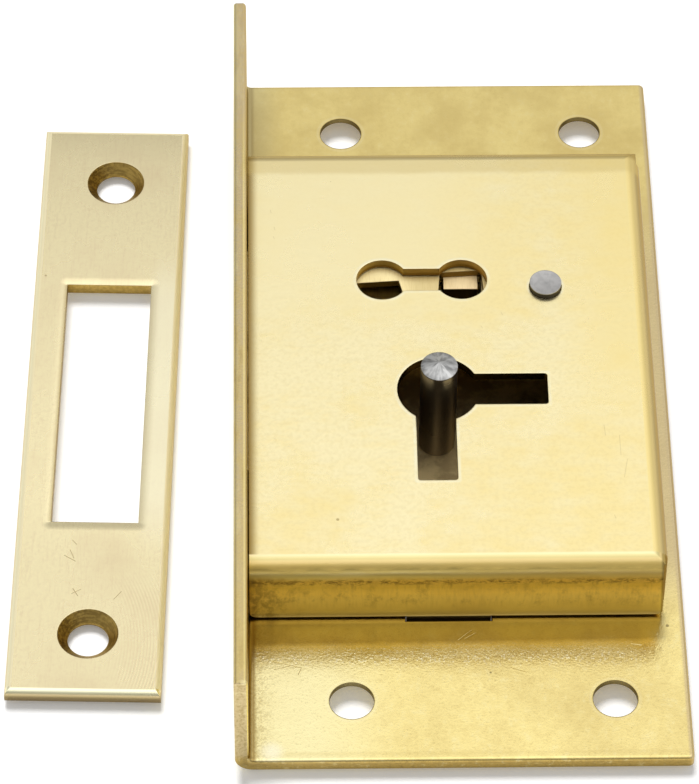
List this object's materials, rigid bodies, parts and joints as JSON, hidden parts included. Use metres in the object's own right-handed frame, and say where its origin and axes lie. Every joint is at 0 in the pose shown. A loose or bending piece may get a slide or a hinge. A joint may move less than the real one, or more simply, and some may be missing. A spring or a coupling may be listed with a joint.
{
  "type": "cupboard lever deadlock with striking plate",
  "caption": "Brass cut-in lever deadlock: folded plate and cap with a keyhole, drill pin and peephole, a key-thrown sliding bolt behind sprung levers, and a loose striking plate.",
  "frame": {"origin": "key axis (centre of the drill pin) at the plate's back face", "axes": "+X away from the selvedge across the plate, +Y up the plate, +Z from the plate's back through the cap"},
  "size_m": [0.0763, 0.1016, 0.0162],
  "materials": {
    "plate_brass": "worn satin brass sheet with fine grain",
    "cap_brass": "pale satin brass sheet, lightly tarnished at the bends",
    "strike_brass": "pale milled brass",
    "pin_steel": "turned steel",
    "bolt_brass": "machined brass",
    "lever_brass": "stamped brass",
    "spring_steel": "blued spring steel",
    "washer_brass": "stamped brass"
  },
  "bodies": {
    "case": {"main_plate": "plate_brass", "cap": "cap_brass", "drill_pin": "pin_steel", "lever_pivot": "pin_steel", "lever_washer_1": "washer_brass", "lever_washer_2": "washer_brass", "lever_washer_3": "washer_brass", "lever_washer_4": "washer_brass", "lever_washer_5": "washer_brass"},
    "bolt": {"bolt": "bolt_brass", "bolt_stump": "bolt_brass"},
    "lever_1": {"lever_1": "lever_brass", "lever_spring_1": "spring_steel"},
    "lever_2": {"lever_2": "lever_brass", "lever_spring_2": "spring_steel"},
    "lever_3": {"lever_3": "lever_brass", "lever_spring_3": "spring_steel"},
    "lever_4": {"lever_4": "lever_brass", "lever_spring_4": "spring_steel"},
    "strike": {"strike_plate": "strike_brass"}
  },
  "joints": [
    {"name": "bolt_slide", "type": "slide", "parent": "case", "child": "bolt", "axis": [-1, 0, 0], "range_m": [0, 0.00925]},
    {"name": "lever_1_pivot", "type": "hinge", "parent": "case", "child": "lever_1", "pos_m": [0.0129, 0.01545, 0.00526], "axis": [0, 0, -1], "range_deg": [-4.5, 1.5], "stiffness_Nm_per_rad": 0.004, "springref_deg": -14.32, "deforming": ["lever_spring_1"]},
    {"name": "lever_2_pivot", "type": "hinge", "parent": "case", "child": "lever_2", "pos_m": [0.0129, 0.01545, 0.0066], "axis": [0, 0, -1], "range_deg": [-4.5, 1.5], "stiffness_Nm_per_rad": 0.004, "springref_deg": -14.32, "deforming": ["lever_spring_2"]},
    {"name": "lever_3_pivot", "type": "hinge", "parent": "case", "child": "lever_3", "pos_m": [0.0129, 0.01545, 0.00794], "axis": [0, 0, -1], "range_deg": [-4.5, 1.5], "stiffness_Nm_per_rad": 0.004, "springref_deg": -14.32, "deforming": ["lever_spring_3"]},
    {"name": "lever_4_pivot", "type": "hinge", "parent": "case", "child": "lever_4", "pos_m": [0.0129, 0.01545, 0.00928], "axis": [0, 0, -1], "range_deg": [0, 16], "stiffness_Nm_per_rad": 0.004, "springref_deg": -14.32, "deforming": ["lever_spring_4"]},
    {"name": "strike_lift", "type": "slide", "parent": "case", "child": "strike", "axis": [0, 0, 1], "range_m": [0, 0.04]}
  ]
}
